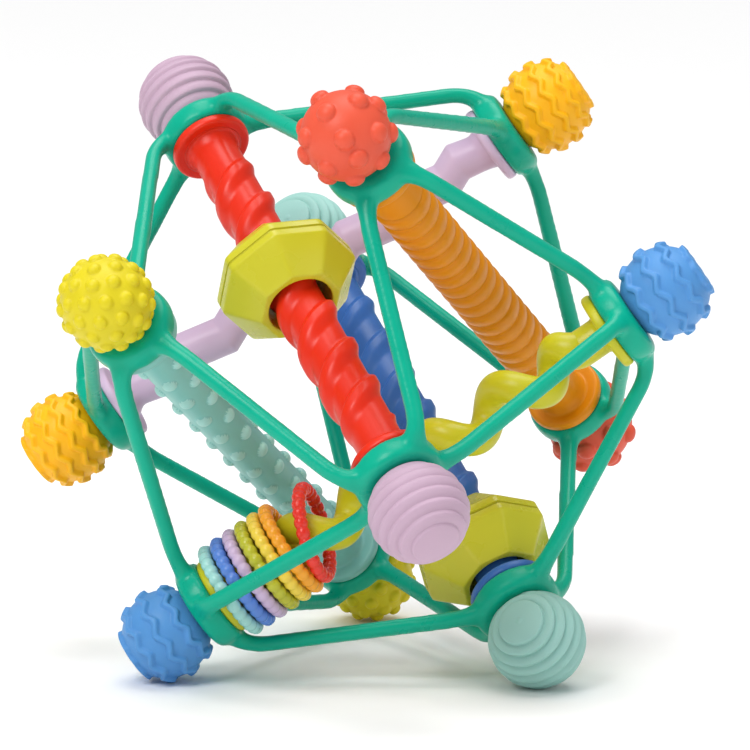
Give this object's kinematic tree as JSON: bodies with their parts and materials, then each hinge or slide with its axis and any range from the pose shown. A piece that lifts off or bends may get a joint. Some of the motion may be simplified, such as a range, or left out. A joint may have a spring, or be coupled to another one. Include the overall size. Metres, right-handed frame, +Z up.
{
  "type": "activity ball",
  "caption": "Open baby activity ball: textured struts held in a soft elastic net, each ending in textured grip balls, with sliding faceted beads and loose beaded rings.",
  "frame": {"origin": "middle of the part's plan, on the floor that its three lowest balls stand on", "axes": "+Z up, along the line that all six struts slope from alike; +X the way the lavender and lime struts rise; -Y towards the viewer of the picture"},
  "size_m": [0.1866, 0.192, 0.1616],
  "materials": {
    "net": "teal soft elastomer, satin",
    "lavender": "lavender moulded plastic, satin",
    "lime": "lime moulded plastic, satin",
    "red": "red moulded plastic, satin",
    "blue": "blue moulded plastic, satin",
    "orange": "orange moulded plastic, satin",
    "aqua": "aqua moulded plastic, satin",
    "soft_amber": "amber soft elastomer, matte",
    "soft_blue": "blue soft elastomer, matte",
    "soft_lavender": "lavender soft elastomer, matte",
    "soft_aqua": "pale aqua soft elastomer, matte",
    "soft_coral": "coral soft elastomer, matte",
    "soft_yellow": "yellow soft elastomer, matte",
    "bead": "olive moulded plastic, glossy",
    "ring_aqua": "pale aqua moulded plastic, satin",
    "ring_blue": "blue moulded plastic, satin",
    "ring_yellow": "yellow moulded plastic, satin"
  },
  "bodies": {
    "net": {"net_lavender_upper": "net", "net_lavender_lower": "net", "net_lime_upper": "net", "net_lime_lower": "net", "net_red_upper": "net", "net_red_lower": "net", "net_blue_upper": "net", "net_blue_lower": "net", "net_orange_upper": "net", "net_orange_lower": "net", "net_aqua_upper": "net", "net_aqua_lower": "net"},
    "lavender_strut": {"strut_lavender_zigzag": "lavender", "ball_amber_upper": "soft_amber", "ball_amber_lower": "soft_amber"},
    "lime_strut": {"strut_lime_corkscrew": "lime", "ball_blue_upper": "soft_blue", "ball_blue_lower": "soft_blue"},
    "red_strut": {"strut_red_twisted": "red", "ball_lavender_upper": "soft_lavender", "ball_lavender_lower": "soft_lavender"},
    "blue_strut": {"strut_blue_twisted": "blue", "ball_aqua_upper": "soft_aqua", "ball_aqua_lower": "soft_aqua"},
    "orange_strut": {"strut_orange_ringed": "orange", "ball_coral_upper": "soft_coral", "ball_coral_lower": "soft_coral"},
    "aqua_strut": {"strut_aqua_bumped": "aqua", "ball_yellow_upper": "soft_yellow", "ball_yellow_lower": "soft_yellow"},
    "red_bead": {"bead_red_upper_half": "bead", "bead_red_lower_half": "bead"},
    "blue_bead": {"bead_blue_upper_half": "bead", "bead_blue_lower_half": "bead"},
    "aqua_ring": {"ring_aqua": "ring_aqua"},
    "blue_ring": {"ring_blue": "ring_blue"},
    "lavender_ring": {"ring_lavender": "lavender"},
    "olive_ring": {"ring_olive": "lime"},
    "yellow_ring": {"ring_yellow": "ring_yellow"},
    "orange_ring": {"ring_orange": "orange"},
    "red_ring": {"ring_red": "red"}
  },
  "joints": [
    {"name": "lavender_strut_spin", "type": "hinge", "parent": "net", "child": "lavender_strut", "pos_m": [-0.01531, 0.02655, 0.10238], "axis": [0.8165, 0, 0.5774], "continuous": true},
    {"name": "lime_strut_spin", "type": "hinge", "parent": "net", "child": "lime_strut", "pos_m": [0.01531, -0.02648, 0.05908], "axis": [0.8165, 0, 0.5774], "continuous": true},
    {"name": "red_strut_spin", "type": "hinge", "parent": "net", "child": "red_strut", "pos_m": [-0.01531, -0.02648, 0.10238], "axis": [-0.4082, 0.7071, 0.5774], "continuous": true},
    {"name": "blue_strut_spin", "type": "hinge", "parent": "net", "child": "blue_strut", "pos_m": [0.01531, 0.02655, 0.05908], "axis": [-0.4082, 0.7071, 0.5774], "continuous": true},
    {"name": "orange_strut_spin", "type": "hinge", "parent": "net", "child": "orange_strut", "pos_m": [0.03062, 0.00004, 0.10238], "axis": [-0.4082, -0.7071, 0.5774], "continuous": true},
    {"name": "aqua_strut_spin", "type": "hinge", "parent": "net", "child": "aqua_strut", "pos_m": [-0.03062, 0.00004, 0.05908], "axis": [-0.4082, -0.7071, 0.5774], "continuous": true},
    {"name": "red_bead_slide", "type": "slide", "parent": "net", "child": "red_bead", "axis": [-0.4082, 0.7071, 0.5774], "range_m": [-0.053, 0.037]},
    {"name": "blue_bead_slide", "type": "slide", "parent": "net", "child": "blue_bead", "axis": [-0.4082, 0.7071, 0.5774], "range_m": [0, 0.09]},
    {"name": "aqua_ring_slide", "type": "slide", "parent": "net", "child": "aqua_ring", "axis": [0.8165, 0, 0.5774], "range_m": [0, 0.012]},
    {"name": "blue_ring_slide", "type": "slide", "parent": "aqua_ring", "child": "blue_ring", "axis": [0.8165, 0, 0.5774], "range_m": [0, 0.012]},
    {"name": "lavender_ring_slide", "type": "slide", "parent": "blue_ring", "child": "lavender_ring", "axis": [0.8165, 0, 0.5774], "range_m": [0, 0.012]},
    {"name": "olive_ring_slide", "type": "slide", "parent": "lavender_ring", "child": "olive_ring", "axis": [0.8165, 0, 0.5774], "range_m": [0, 0.012]},
    {"name": "yellow_ring_slide", "type": "slide", "parent": "olive_ring", "child": "yellow_ring", "axis": [0.8165, 0, 0.5774], "range_m": [0, 0.012]},
    {"name": "orange_ring_slide", "type": "slide", "parent": "yellow_ring", "child": "orange_ring", "axis": [0.8165, 0, 0.5774], "range_m": [0, 0.012]},
    {"name": "red_ring_slide", "type": "slide", "parent": "orange_ring", "child": "red_ring", "axis": [0.8165, 0, 0.5774], "range_m": [0, 0.012]}
  ]
}
